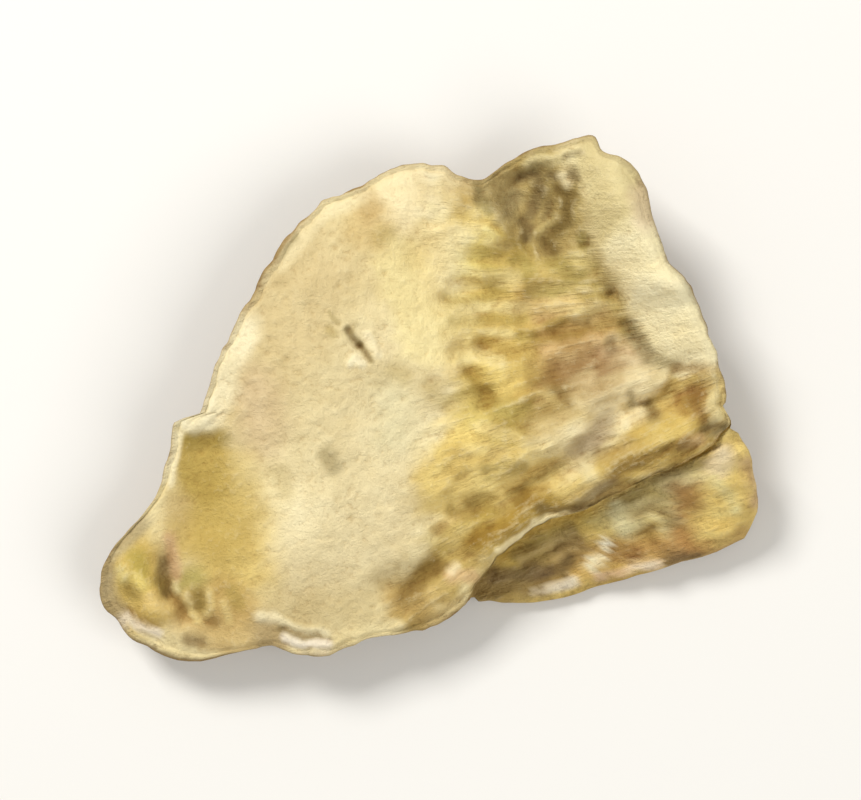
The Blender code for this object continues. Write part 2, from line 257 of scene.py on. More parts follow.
def skin_relief(x, y):
    """Crests along the root: the size of a stretched noise, so that its zeros are furrows."""
    along, across = root_grain(x, y)
    sway = SKIN_SWAY * plan_noise(along, across, SKIN_SWAY_PITCH, SKIN_SWAY_PITCH, 21)
    fold = plan_noise(along, across + sway, SKIN_LENGTH, SKIN_PITCH, 22)
    crest = np.sqrt(fold**2 + SKIN_SOFTNESS**2)
    swell = SKIN_SWELL * plan_noise(x, y, SKIN_SWELL_PITCH, SKIN_SWELL_PITCH, 23)
    return SKIN_HEIGHT * (crest - 0.3) + swell


def lobe_share(angle):
    """1 where the wall spreads out into the lobe, 0 where it is plain."""
    spread = lobe_reach(angle) - face_reach(angle)
    return smooth_step((spread + 0.1) / 0.8)


def rim_thickness(angle):
    """Thickness at the rim, read between the listed angles."""
    plain = np.interp(np.degrees(angle), RIM_ANGLES, RIM_THICKS, period=360.0)
    return plain + (LOBE_THICK - plain) * lobe_share(angle)


def base_reach(angle):
    """Distance to the skin's edge: inside the face's rim, or out to the lobe's edge."""
    sway = noise(2.0 * np.cos(angle), 2.0 * np.sin(angle), 0.0 * angle, 24)
    inner = face_reach(angle) - RIM_BEVEL - BEVEL_SWAY * sway
    return inner + (lobe_reach(angle) - 0.3 - inner) * lobe_share(angle)


def even_reach(angle):
    """The face's reach averaged over the angles near by, for the points inside the rim."""
    turns = np.radians(np.linspace(-EVEN_SPREAD_DEG, EVEN_SPREAD_DEG, EVEN_SAMPLES))
    return sum(face_reach(angle + turn) for turn in turns) / EVEN_SAMPLES


def spread_out(share, even, rim):
    """Distance from the middle: the share of the even reach, and the rim's own near it."""
    return share * even + share**4 * (rim - even)


def from_middle(distance, angle):
    """The point at a distance and angle from the slice's middle."""
    return MIDDLE[0] + distance * np.cos(angle), MIDDLE[1] + distance * np.sin(angle)


def skin_height(x, y):
    """The curl less the thickness, which thins to the rim, plus the wrinkles of the skin."""
    angle = np.arctan2(y - MIDDLE[1], x - MIDDLE[0])
    share = np.hypot(x - MIDDLE[0], y - MIDDLE[1]) / base_reach(angle)
    rim = rim_thickness(angle)
    thick = rim + (BODY_THICK - rim) * (1.0 - np.minimum(share, 1.0) ** 3)
    return warp_of_slice(x, y) - thick + skin_relief(x, y) * (1.0 - 0.5 * share**4)


def resting_plane():
    """The plane a + b x + c y through the skin at the three feet."""
    x, y = np.array(FEET).T
    return np.linalg.solve(np.column_stack([np.ones(3), x, y]), skin_height(x, y))


# The face's fine relief
# What a hand lens shows on the cut: grains of dried pith on the smooth left half, combed fibres
# on the golden right half, wrinkles and ribs of bark, a scar, slits, crumbs, pits and a flake.
# A stroke is a line, its half width, its height, its colour, and how strong that colour is.
IVORY, CREAM, BUTTER, STRAW = "#f7e9bd", "#eddcab", "#ebd898", "#dcc68a"
GOLD, OLIVE, TAN = "#dfc16c", "#ad954c", "#d0b272"
ROSE, DRAB, BROWN, UMBER = "#d6b27c", "#f0dcaa", "#9c7838", "#74603a"
FACE_STROKES = (
    # wrinkles of the golden fibre, with crests between them; the crests are raised a little and
    # painted pale, partly their own tone and partly a painted highlight
    (((0.8, 4.65), (2.2, 4.8), (3.2, 5.05)), 0.31, -0.11, OLIVE, 0.64),
    (((2.3, 3.8), (4.2, 3.75)), 0.31, -0.11, OLIVE, 0.64),
    (((1.0, 3.6), (1.8, 3.55)), 0.26, -0.055, OLIVE, 0.4),
    (((4.1, 2.9), (4.7, 2.85)), 0.26, -0.083, OLIVE, 0.64),
    (((2.3, 2.3), (3.6, 2.2), (4.6, 2.0), (5.3, 2.4), (6.4, 2.8), (6.9, 3.1), (8.0, 3.5)),
     0.32, -0.13, "#a98a42", 0.6),
    (((7.5, 5.0), (8.1, 4.8), (8.7, 4.4)), 0.31, -0.11, OLIVE, 0.64),
    (((7.6, 5.9), (8.4, 5.5)), 0.26, -0.055, OLIVE, 0.4),
    (((2.4, 6.6), (3.2, 6.6)), 0.24, -0.077, OLIVE, 0.56),
    (((3.6, 6.95), (4.5, 6.85)), 0.29, -0.088, OLIVE, 0.64),
    (((1.5, 1.7), (1.9, 1.2), (2.3, 0.5), (2.5, -0.3)), 0.28, -0.12, "#a5863a", 0.66),
    # a painted shade streak on the smooth pith
    (((0.0, 0.6), (0.6, -0.2)), 0.36, -0.04, "#b8a164", 0.4),
    (((5.75, 0.45), (6.05, -0.05)), 0.32, -0.12, "#8d6f34", 0.66),
    (((6.0, 1.3), (6.6, 1.5), (7.2, 1.9), (7.6, 1.7)), 0.41, -0.14, "#9c7644", 0.65),
    (((4.8, 1.2), (5.5, 1.1)), 0.34, -0.055, BROWN, 0.4),
    (((6.7, 3.9), (7.5, 4.3)), 0.24, 0.14, BUTTER, 0.7),
    (((2.6, 4.3), (4.4, 4.3)), 0.22, 0.1, BUTTER, 0.6),
    (((2.4, 3.1), (3.6, 3.0)), 0.22, 0.1, BUTTER, 0.6),
    (((1.4, 4.2), (2.2, 4.3)), 0.26, 0.08, BUTTER, 0.7),
    (((1.3, 1.9), (2.2, 1.9), (3.2, 1.7)), 0.26, 0.1, BUTTER, 0.6),
    (((2.4, 5.6), (4.0, 5.4)), 0.24, 0.1, BUTTER, 0.5),
    (((2.6, 7.1), (3.4, 7.0)), 0.2, 0.08, BUTTER, 0.5),
    (((5.4, 2.2), (6.8, 2.5), (7.4, 2.9)), 0.24, 0.1, "#e0bd84", 0.6),
    (((5.5, 3.3), (6.2, 3.6)), 0.18, -0.08, OLIVE, 0.6),
    (((4.6, 5.0), (6.0, 5.2), (7.0, 5.7)), 0.24, -0.1, "#a3904c", 0.6),
    (((5.6, 6.2), (6.2, 5.9)), 0.3, -0.1, "#a08c46", 0.6),
    (((3.9, 6.3), (4.5, 5.8)), 0.3, -0.1, "#a8944c", 0.6),
    (((5.7, 4.4), (6.3, 4.5)), 0.3, 0.08, "#ead08e", 0.6),
    (((3.0, -0.6), (4.6, -0.5)), 0.26, -0.08, "#b09a50", 0.6),
    (((2.2, -1.4), (4.0, -1.7)), 0.24, 0.08, "#e8cf88", 0.6),
    (((1.6, -2.4), (3.4, -2.6)), 0.24, 0.08, "#ead38c", 0.6),
    (((2.6, -3.3), (4.2, -3.1)), 0.24, -0.08, "#b39c58", 0.6),
    (((4.6, -1.0), (5.6, -0.4)), 0.24, -0.08, "#b49a5a", 0.5),
    # saddle, and the brown corner beyond it
    # painted shadow in the fold below the saddle
    (((7.0, -2.2), (7.6, -1.6), (8.1, -1.1)), 0.41, -0.099, "#9c8663", 0.56),
    (((8.9, 3.5), (9.05, 3.2)), 0.26, -0.11, OLIVE, 0.64),
    (((9.2, 3.3), (9.6, 2.5), (10.1, 1.9), (10.8, 1.5), (11.2, 1.45)),
     0.34, -0.14, "#88784e", 0.66),
    (((11.2, 1.4), (13.0, 1.55)), 0.19, -0.11, BROWN, 0.48),
    (((8.3, 2.7), (8.4, 2.3)), 0.24, -0.066, "#8a744e", 0.48),
    (((9.2, 0.2), (9.35, -0.1)), 0.26, -0.11, "#80704a", 0.56),
    (((9.85, -0.2), (10.1, -0.8)), 0.26, -0.11, "#80704a", 0.56),
    (((9.6, 0.2), (10.2, 0.5), (10.8, 1.0)), 0.24, 0.16, CREAM, 0.7),
    (((9.0, -1.0), (9.5, -0.6)), 0.3, 0.14, "#f0dba6", 0.8),
    (((11.4, 0.1), (11.5, -0.6)), 0.26, -0.11, "#8f6226", 0.56),
    (((12.0, 0.5), (12.15, -0.3), (12.4, -0.9)), 0.26, -0.12, "#835a24", 0.64),
    (((12.6, 1.2), (12.5, 0.0)), 0.22, -0.077, BROWN, 0.48),
    (((12.9, 1.1), (13.15, -0.8)), 0.2, 0.14, STRAW, 0.8),
    (((12.6, -1.35), (13.4, -1.3)), 0.31, -0.17, UMBER, 0.68),
    (((11.5, -1.95), (12.3, -1.8)), 0.22, 0.12, ROSE, 0.8),
    # furrows and pleats beside the lip
    (((4.2, -4.1), (4.7, -3.6), (5.9, -3.0)), 0.3, -0.06, "#b09448", 0.4),
    (((2.2, -4.8), (3.2, -5.0), (4.1, -4.6)), 0.42, -0.1, "#9e8540", 0.55),
    (((1.0, -5.15), (2.0, -5.1)), 0.32, -0.1, "#8d7030", 0.64),
    (((5.2, -5.25), (6.4, -5.05), (7.3, -4.9)), 0.24, -0.11, UMBER, 0.56),
    (((8.6, -3.1), (10.2, -2.5), (11.5, -2.0)), 0.26, -0.11, "#87692c", 0.64),
    (((7.0, -2.9), (7.3, -3.5)), 0.3, 0.12, "#ecdaa2", 0.6),
    # pale edge of the lip, raised a little: pale crumbs of the cut edge with a painted highlight
    # along them
    (((3.2, -7.1), (4.2, -6.4), (4.9, -5.95)), 0.14, 0.1, "#ecd9a4", 0.85),
    (((4.9, -5.95), (5.5, -5.65), (6.2, -5.4)), 0.17, 0.14, "#f0dda6", 0.9),
    (((-1.3, -8.75), (-0.7, -8.4), (0.1, -7.8)), 0.4, -0.1, "#7c5f24", 0.75),
    (((0.2, -6.1), (0.5, -5.8)), 0.18, -0.05, BROWN, 0.45),
    # bark hollow
    (((4.1, 10.3), (4.9, 10.35), (5.0, 9.7), (4.75, 9.1), (4.65, 8.6)), 0.24, -0.2, UMBER, 0.75),
    (((5.5, 10.3), (5.75, 10.25)), 0.22, -0.15, UMBER, 0.7),
    (((6.45, 10.35), (6.5, 10.1)), 0.22, -0.15, UMBER, 0.7),
    (((5.9, 9.5), (6.3, 9.3), (6.1, 8.6), (6.1, 8.1), (5.7, 7.7), (5.3, 7.3), (5.6, 6.8)),
     0.28, -0.2, "#77602c", 0.8),
    (((4.3, 8.2), (4.5, 7.8), (4.4, 7.5)), 0.3, -0.18, UMBER, 0.7),
    (((5.4, 9.0), (5.3, 8.3)), 0.2, -0.12, UMBER, 0.5),
    (((3.8, 9.4), (3.6, 8.6)), 0.25, -0.1, "#86744a", 0.6),
    (((7.0, 7.45), (7.1, 7.1)), 0.26, -0.12, "#8f7c34", 0.7),
    (((2.3, 9.5), (2.5, 8.7)), 0.24, -0.12, "#8a7c4a", 0.6),
    (((5.5, 8.3), (5.0, 7.7)), 0.2, 0.12, "#cdb878", 0.6),
    (((6.05, 10.25), (6.15, 9.9)), 0.2, 0.14, CREAM, 0.8),
    (((4.5, 10.8), (4.9, 11.0), (6.0, 11.05), (7.1, 11.4)), 0.22, 0.14, "#dccb93", 0.8),
    (((4.6, 10.65), (5.5, 10.75)), 0.16, -0.1, "#8f7c4a", 0.6),
    (((6.2, 11.15), (6.8, 11.2)), 0.14, -0.1, UMBER, 0.6),
    # painted highlight on the edge of the top lobe
    (((2.45, 7.65), (2.75, 7.45)), 0.16, 0.1, "#efdc90", 0.85),
    # scar, pits and crumbs of the pith
    (((-3.8, 3.15), (-3.5, 2.75), (-3.2, 2.45)), 0.14, -0.14, "#75602f", 0.75),
    (((-3.2, 2.45), (-2.95, 2.1), (-2.7, 1.75)), 0.1, -0.12, "#7f6a38", 0.7),
    (((-3.6, 3.0), (-3.4, 3.4)), 0.09, -0.04, "#9a8650", 0.4),
    (((-4.6, 3.9), (-4.2, 3.4)), 0.1, -0.04, "#a8935a", 0.5),
    (((-2.9, 2.9), (-2.4, 2.1)), 0.18, 0.14, IVORY, 0.8),
    (((-3.6, 1.6), (-3.4, 1.85), (-3.1, 1.6)), 0.17, 0.16, IVORY, 1),
    (((-4.75, -2.6), (-4.4, -3.1)), 0.32, -0.06, "#a08e60", 0.65),
    (((-4.6, 3.1), (-4.4, 2.9)), 0.19, -0.044, OLIVE, 0.4),
    (((-2.3, 7.5), (-1.9, 7.5)), 0.36, -0.044, OLIVE, 0.4),
    (((-6.9, -3.4), (-6.6, -4.2)), 0.36, -0.033, "#b8a268", 0.4),
    (((-1.6, 1.3), (-1.2, 1.0)), 0.3, -0.03, OLIVE, 0.24),
    # tooth, and the double edge at the upper left
    (((-11.4, -1.0), (-10.9, -1.35), (-10.2, -1.0), (-10.1, -0.2)), 0.26, 0.16, IVORY, 0.95),
    (((-6.95, 6.6), (-6.3, 7.5)), 0.17, -0.066, "#8a7a48", 0.48),
    (((-11.0, -1.9), (-9.6, -1.8)), 0.36, -0.055, "#8c7630", 0.56),
    # lump, slit and ripples at the lower left
    (((-12.2, -7.5), (-12.4, -8.3), (-12.15, -8.9)), 0.27, -0.2, "#5c4718", 0.7),
    (((-12.0, -6.4), (-11.75, -7.2), (-11.7, -8.1)), 0.24, 0.08, "#c99f74", 0.7),
    (((-11.8, -8.5), (-11.6, -8.8)), 0.16, 0.1, "#ecdca0", 0.7),
    (((-11.7, -9.2), (-11.5, -9.9)), 0.29, -0.11, "#8f6c2c", 0.64),
    (((-10.65, -9.1), (-10.55, -9.6)), 0.29, -0.11, "#7f6a24", 0.64),
    (((-10.2, -10.1), (-10.0, -10.3)), 0.24, -0.099, "#86642c", 0.64),
    (((-9.1, -8.9), (-8.9, -9.4)), 0.26, -0.083, OLIVE, 0.56),
    (((-11.3, -9.0), (-11.05, -9.8), (-10.7, -10.2)), 0.15, 0.12, "#e2ca84", 0.65),
    (((-10.2, -8.9), (-10.05, -9.5), (-10.3, -9.9)), 0.16, 0.12, "#e2ca84", 0.65),
    (((-9.5, -9.4), (-9.3, -10.2)), 0.15, 0.1, "#e2ca84", 0.55),
    (((-13.5, -7.3), (-13.3, -7.9)), 0.36, -0.066, "#9d8c36", 0.64),
    (((-13.95, -8.6), (-13.8, -8.9)), 0.29, -0.099, "#7d6420", 0.64),
    (((-13.5, -8.2), (-13.2, -8.5)), 0.22, 0.14, "#ecd377", 0.9),
    (((-14.3, -7.9), (-14.1, -8.2)), 0.2, 0.1, "#e2cf86", 0.8),
    (((-12.9, -9.2), (-12.2, -9.6)), 0.3, 0.14, "#ecce84", 0.8),
    (((-14.0, -9.85), (-13.3, -10.05), (-12.6, -10.4)), 0.19, -0.088, BROWN, 0.56),
    (((-14.1, -10.15), (-13.3, -10.5), (-12.6, -10.8)), 0.2, 0.12, "#ecdcc0", 0.9),
    (((-11.2, -11.1), (-10.6, -11.25)), 0.24, -0.12, "#6a4e22", 0.66),
    (((-10.6, -11.5), (-9.4, -11.5)), 0.19, -0.055, BROWN, 0.4),
    (((-7.9, -10.0), (-7.1, -10.1)), 0.24, 0.12, IVORY, 0.8),
    # greyish painted shade in the shallow dip beside the flake
    (((-7.7, -10.8), (-7.3, -11.4)), 0.6, -0.066, "#a38e68", 0.56),
    (((-6.9, -10.65), (-6.2, -10.85), (-5.6, -11.0), (-4.8, -11.1)), 0.18, -0.17, "#5c4a1c", 0.6),
    (((-6.7, -11.0), (-5.8, -11.35), (-4.8, -11.3)), 0.2, 0.18, "#f4e6cc", 0.9),
    (((-6.8, -10.3), (-5.8, -10.65), (-4.9, -10.75)), 0.16, 0.1, IVORY, 0.6),
)
RIM_LINE = ((8.0, 10.6), (8.5, 8.8), (9.3, 6.8), (10.5, 4.8), (11.8, 2.7))
HOLLOW_LINE = ((4.4, 10.4), (4.8, 9.2), (5.2, 8.2))
RIM_REACH, HOLLOW_REACH = 1.9, 2.2
FIBRES = ((0.2, 2.4, 0.8, 1.0, 33), (0.14, 1.6, 0.36, 1.0, 34))
GRAINS = ((0.045, 0.3, 0.3, 1.0, 35), (0.05, 0.75, 0.75, 1.0, 36), (0.06, 1.7, 1.7, 1.0, 37))


def rim_share(x, y):
    """1 on the smooth pale rim that curls up on the right, 0 away from it."""
    return smooth_step((RIM_REACH - distance_to(RIM_LINE, x, y)) / 0.7)


def hollow_share(x, y):
    """1 in the hollow of bare bark near the narrow end, 0 away from it."""
    ragged = 0.3 * plan_noise(x, y, 0.8, 0.8, 30)
    return smooth_step((HOLLOW_REACH + ragged - distance_to(HOLLOW_LINE, x, y)) / 0.8)


def golden_share(x, y):
    """1 on the golden fibres, with a ragged edge, 0 on the smooth pith, and little elsewhere."""
    ragged = 1.1 * plan_noise(x, y, 1.6, 1.6, 31)
    golden = smooth_step((x + 0.3 + 0.25 * np.abs(y - 2.0) + ragged) / 3.0)
    return golden * (1.0 - 0.95 * rim_share(x, y)) * (1.0 - 0.7 * hollow_share(x, y))


def face_detail(x, y):
    """Grains plus fibres, by how golden the place is, plus ribs, plus a hump for each stroke."""
    away, across = grain(x, y)
    gold = golden_share(x, y)
    sway = 0.5 * plan_noise(x, y, 1.7, 1.7, 32)
    twist = plan_noise(x, y, 0.9, 0.9, 40)
    fibres = (layered(away, across + sway, 0.0 * x, FIBRES)
              + 0.08 * plan_noise(x, y, 0.7, 0.6, 29))
    grains = layered(x, y, 0.0 * x, GRAINS)
    ribs = (0.2 * plan_noise(x - 0.12 * y + 0.35 * twist, y + 0.4 * twist, 0.6, 1.3, 38)
            + 0.12 * plan_noise(x + 0.2 * twist, y, 0.3, 0.6, 28))
    hollow = hollow_share(x, y)
    height = (fibres * (0.1 + 0.9 * gold) * (1.0 - hollow) + grains * (1.0 - 0.4 * gold)
              + ribs * hollow)
    broken = 1.0 + 0.4 * plan_noise(x, y, 0.5, 0.5, 27)
    for line, half_width, rise, _, _ in FACE_STROKES:
        nearness = distance_to(line, x + 0.15 * twist + 0.2 * sway, y + 0.15 * twist)
        height = height + rise * broken * bump(nearness, half_width)
    return height


def skin_detail(x, y):
    """Fine wrinkles along the root, cross rings and small round pits of the skin."""
    along, across = root_grain(x, y)
    sway = 0.5 * plan_noise(along, across, 2.5, 2.5, 41)
    fine = np.abs(plan_noise(along, across + sway, 3.2, 0.7, 42))
    rings = np.abs(plan_noise(along + sway, across, 0.55, 2.6, 43))
    pits = plan_noise(x, y, 0.35, 0.35, 44)
    return 0.3 * (fine - 0.3) + 0.1 * (rings - 0.3) + 0.04 * pits


# The lobe's fine relief
# Below the lip the bark spreads out in thin layers, laid along its own edge, with crumbs of
# pith stuck to them.
LOBE_TURN = math.radians(15.0)
LOBE_LAYERS = ((0.22, 1.7, 0.6, 1.0, 46), (0.13, 0.8, 0.34, 1.0, 47))
LOBE_STROKES = (
    # shade under the lip, and a strand of pith that hangs across it
    (((8.9, -4.5), (10.3, -3.75), (12.4, -2.9)), 0.24, -0.1, "#85703e", 0.65),
    (((8.5, -4.8), (8.6, -5.4), (8.9, -6.1)), 0.26, 0.14, "#dccf9a", 0.8),
    (((9.0, -5.2), (9.3, -5.9)), 0.18, 0.1, "#d8ca94", 0.7),
    # layers that run up to the lip on the left
    (((4.0, -7.1), (5.0, -6.6), (6.4, -5.9)), 0.26, -0.12, "#8a7646", 0.6),
    (((4.4, -7.6), (5.4, -7.1), (6.8, -6.3)), 0.2, -0.1, "#8a6c3c", 0.6),
    (((5.2, -8.1), (6.0, -7.6), (7.0, -6.8)), 0.2, -0.1, "#8a6c3c", 0.6),
    (((4.2, -7.35), (6.6, -6.1)), 0.18, 0.1, "#ccb070", 0.7),
    (((4.8, -7.85), (6.6, -6.9)), 0.18, 0.1, "#c8a868", 0.7),
    (((3.0, -8.1), (4.2, -8.0), (5.3, -7.9)), 0.3, -0.12, "#80694a", 0.7),
    (((6.1, -8.0), (6.5, -7.3)), 0.2, -0.12, UMBER, 0.7),
    # curved layers of the middle
    (((9.2, -4.9), (10.0, -4.6), (10.9, -4.8), (11.3, -5.6)), 0.2, 0.12, "#d0be86", 0.7),
    (((9.3, -5.6), (9.9, -5.2), (10.5, -5.5), (10.7, -6.2)), 0.2, 0.12, "#d8c58a", 0.7),
    (((9.2, -5.2), (10.1, -4.9), (10.9, -5.4), (11.0, -6.3)), 0.18, -0.12, "#a9905a", 0.7),
    (((9.6, -6.3), (10.0, -5.9), (10.3, -6.9)), 0.2, -0.12, "#94702f", 0.7),
    (((11.6, -4.5), (11.9, -5.4), (11.6, -6.4)), 0.45, -0.1, "#b5864a", 0.8),
    (((12.1, -3.9), (12.3, -5.0), (12.2, -6.2)), 0.22, -0.08, "#b98e50", 0.6),
    # rusty strip, crumbs and the pale lower edge
    (((7.9, -7.2), (9.2, -7.1), (10.8, -6.9)), 0.34, 0.06, "#b48a4c", 0.7),
    (((9.2, -7.5), (9.5, -7.1)), 0.18, -0.1, "#7e4e24", 0.7),
    (((8.3, -7.0), (8.4, -6.6)), 0.18, -0.1, "#8f6a30", 0.7),
    (((7.3, -7.8), (7.55, -7.35), (7.9, -7.8)), 0.3, 0.16, "#e2c684", 0.8),
    (((8.0, -6.75), (8.1, -6.55)), 0.2, 0.2, "#ecd69c", 0.8),
    (((6.6, -8.3), (7.7, -8.1)), 0.24, 0.08, "#e0ba6a", 0.8),
    (((4.7, -8.95), (5.5, -8.75)), 0.11, 0.12, "#e6d4b0", 0.85),
    (((5.4, -8.75), (6.5, -8.45)), 0.2, 0.18, "#f6e6c4", 1.0),
    (((7.7, -8.35), (8.8, -8.1)), 0.17, 0.12, "#eecda4", 0.95),
    (((9.1, -7.95), (10.5, -7.6)), 0.17, 0.16, "#f3d8b0", 0.95),
    # painted shadow along the lobe's lower edge, at its right
    (((11.0, -7.45), (12.4, -7.15)), 0.22, -0.12, "#6a5030", 0.7),
    (((12.6, -6.8), (13.6, -6.8), (14.4, -6.3)), 0.3, -0.06, "#a87c40", 0.6),
    # bright round end
    (((13.2, -5.5), (13.5, -4.4)), 0.85, 0.24, "#ffe28a", 1.0),
    (((13.0, -3.1), (13.4, -2.7)), 0.4, 0.12, "#f6deae", 0.9),
    (((12.9, -3.7), (13.3, -4.1), (14.0, -5.2)), 0.2, 0.1, "#f7e8a4", 0.8),
    (((13.2, -5.9), (13.8, -5.7)), 0.3, 0.08, "#e2b95c", 0.7),
)


def lobe_detail(x, y):
    """Layers as a noise drawn out along the lobe's edge, plus a hump for each stroke."""
    along = x * math.cos(LOBE_TURN) + y * math.sin(LOBE_TURN)
    across = y * math.cos(LOBE_TURN) - x * math.sin(LOBE_TURN)
    sway = 0.3 * plan_noise(along, across, 1.5, 1.5, 45)
    height = (layered(along, across + sway, 0.0 * x, LOBE_LAYERS)
              + 0.07 * plan_noise(x, y, 0.3, 0.3, 48))
    for line, half_width, rise, _, _ in LOBE_STROKES:
        height = height + rise * bump(distance_to(line, x + 0.3 * sway, y + 0.3 * sway), half_width)
    return height


# The slice's surface
# The mesh is a closed skin drawn from the face's middle out to the rim, down the bark wall and
# back under to the middle. AROUND and the three row counts give cells of about 0.15 mm.
AROUND = 520
FACE_ROWS = 108
WALL_ROWS = 26
SKIN_ROWS = 50
EDGE_ROUND = 0.16
BARK_PITCH = 6.0 / 2.6
FRAY = ((0.10, 0.8, 0.8, 1.0, 54), (0.06, 0.35, 0.35, 1.0, 55))
# a wrinkle's height, its pitch round the rim in mm, its waves down the wall, and its seed
WALL_WRINKLES = ((0.14, 0.9, 2.2, 51), (0.16, 2.4, 9.0, 52), (0.05, 0.4, 8.0, 53))
# how far down the wall the lip ends, and the share of the drop that the lobe's top takes
LIP_FOOT = 0.2
LOBE_SLOPE = 0.12


def surface(share, down, angle):
    """The point at a share of the way out, a share of the way down the wall, and an angle.

    Height is the face's less the drop times the thickness there. The rim is rounded over and
    frayed, the bark wall is wrinkled, and the feet are pressed flat on the floor."""
    face, base = face_reach(angle), base_reach(angle)
    even = even_reach(angle)
    lobe = lobe_share(angle)
    on_wall = np.sin(math.pi * down)
    plain_out = face + (base - face) * smooth_step(down) + RIM_BULGE * on_wall
    lobe_out = (face + (base - face) * smooth_step((down - LIP_FOOT) / 0.6)
                - LIP_UNDERCUT * bump(down - 0.17, 0.1) + 0.3 * bump(down - 0.85, 0.15))
    round_x, round_y = face * np.cos(angle), face * np.sin(angle)
    bark = noise(round_x / BARK_PITCH, round_y / BARK_PITCH, 1.6 * down, 25)
    wrinkles = sum(height * noise(round_x / pitch, round_y / pitch, waves * down, seed)
                   for height, pitch, waves, seed in WALL_WRINKLES)
    fray = layered(round_x, round_y, 0.0 * angle, FRAY)
    rounding = EDGE_ROUND * bump(down, 0.06)
    wall = (plain_out + (lobe_out - plain_out) * lobe + BARK_HEIGHT * bark * on_wall
            + wrinkles * on_wall + fray * (1.0 - down) - rounding)
    x, y = from_middle(spread_out(share, even, wall), angle)
    top_x, top_y = from_middle(spread_out(share, even, face), angle)
    top = warp_of_slice(top_x, top_y) + face_relief(top_x, top_y) + face_detail(top_x, top_y)
    base_x, base_y = from_middle(spread_out(share, even, base), angle)
    bottom = skin_height(base_x, base_y) + skin_detail(base_x, base_y) * smooth_step(down)
    lip = np.interp(np.degrees(angle), LIP_ANGLES, LIP_DROPS)
    lobe_drop = (lip * smooth_step(down / 0.3) + LOBE_SLOPE * smooth_step((down - 0.3) / 0.45)
                 + (1.0 - LOBE_SLOPE - lip) * smooth_step((down - 0.7) / 0.3))
    drop = down + (lobe_drop - down) * lobe
    edge_dip = EDGE_ROUND * smooth_step((share - 0.975) / 0.025) * (down < 0.01)
    on_lobe = lobe * smooth_step((down - LIP_FOOT) / 0.12) * smooth_step((0.85 - down) / 0.15)
    z = (top + (bottom - top) * drop - LIP_GROOVE * lobe * bump(down - LIP_FOOT, 0.07) - edge_dip
         + lobe_detail(x, y) * on_lobe)

    a, b, c = resting_plane()
    z = z - (a + b * x + c * y) + FOOT_CLEARANCE
    z = 0.5 * (z + np.sqrt(z * z + FLOOR_SOFTNESS**2))
    for foot in FEET:
        press = (FOOT_CLEARANCE + FOOT_PRESS) * bump(np.hypot(x - foot[0], y - foot[1]), FOOT_WIDTH)
        z = z - press * (down > 0.99)
    return np.stack([x, y, np.maximum(z, 0.0)], axis=-1)


# rows over the face, down the wall and back under the skin
share_rows = np.concatenate([
    np.linspace(0.0, 1.0, FACE_ROWS + 1)[1:],
    np.ones(WALL_ROWS - 1),
    np.linspace(1.0, 0.0, SKIN_ROWS + 1)[:-1],
])
down_rows = np.concatenate([
    np.zeros(FACE_ROWS),
    np.linspace(0.0, 1.0, WALL_ROWS + 1)[1:-1],
    np.ones(SKIN_ROWS),
])
turns = np.linspace(-math.pi, math.pi, AROUND, endpoint=False)
share_grid, turn_grid = np.meshgrid(share_rows, turns, indexing="ij")
down_grid = np.broadcast_to(down_rows[:, None], share_grid.shape)
skin_points = surface(share_grid, down_grid, turn_grid)
# the two middles, where the rows close
pole = np.array([0.0])
top_pole = surface(pole, pole, pole)
bottom_pole = surface(pole, pole + 1.0, pole)
plan_reach = spread_out(share_grid, even_reach(turn_grid), face_reach(turn_grid))
plan_points = np.stack(from_middle(plan_reach, turn_grid), axis=-1)
points = np.concatenate([skin_points.reshape(-1, 3), top_pole, bottom_pole])

# four-sided faces between the rows, and a fan of triangles at each middle
ROWS = len(share_rows)
row, column = np.meshgrid(np.arange(ROWS - 1), np.arange(AROUND), indexing="ij")
following = (column + 1) % AROUND
quads = np.stack([row * AROUND + column, (row + 1) * AROUND + column,
                  (row + 1) * AROUND + following, row * AROUND + following], axis=-1).reshape(-1, 4)
columns = np.arange(AROUND)
next_column = (columns + 1) % AROUND
top_fan = np.stack([np.full(AROUND, ROWS * AROUND), columns, next_column], axis=-1)
last_row = (ROWS - 1) * AROUND
bottom_fan = np.stack([last_row + columns, np.full(AROUND, ROWS * AROUND + 1),
                       last_row + next_column], axis=-1)
centre_shift = np.append((points[:, :2].min(axis=0) + points[:, :2].max(axis=0)) / 2.0, 0.0)
mesh = bpy.data.meshes.new("root_slice")
mesh.from_pydata(((points - centre_shift) * MM).tolist(), [],
                 quads.tolist() + top_fan.tolist() + bottom_fan.tolist())
mesh.shade_smooth()
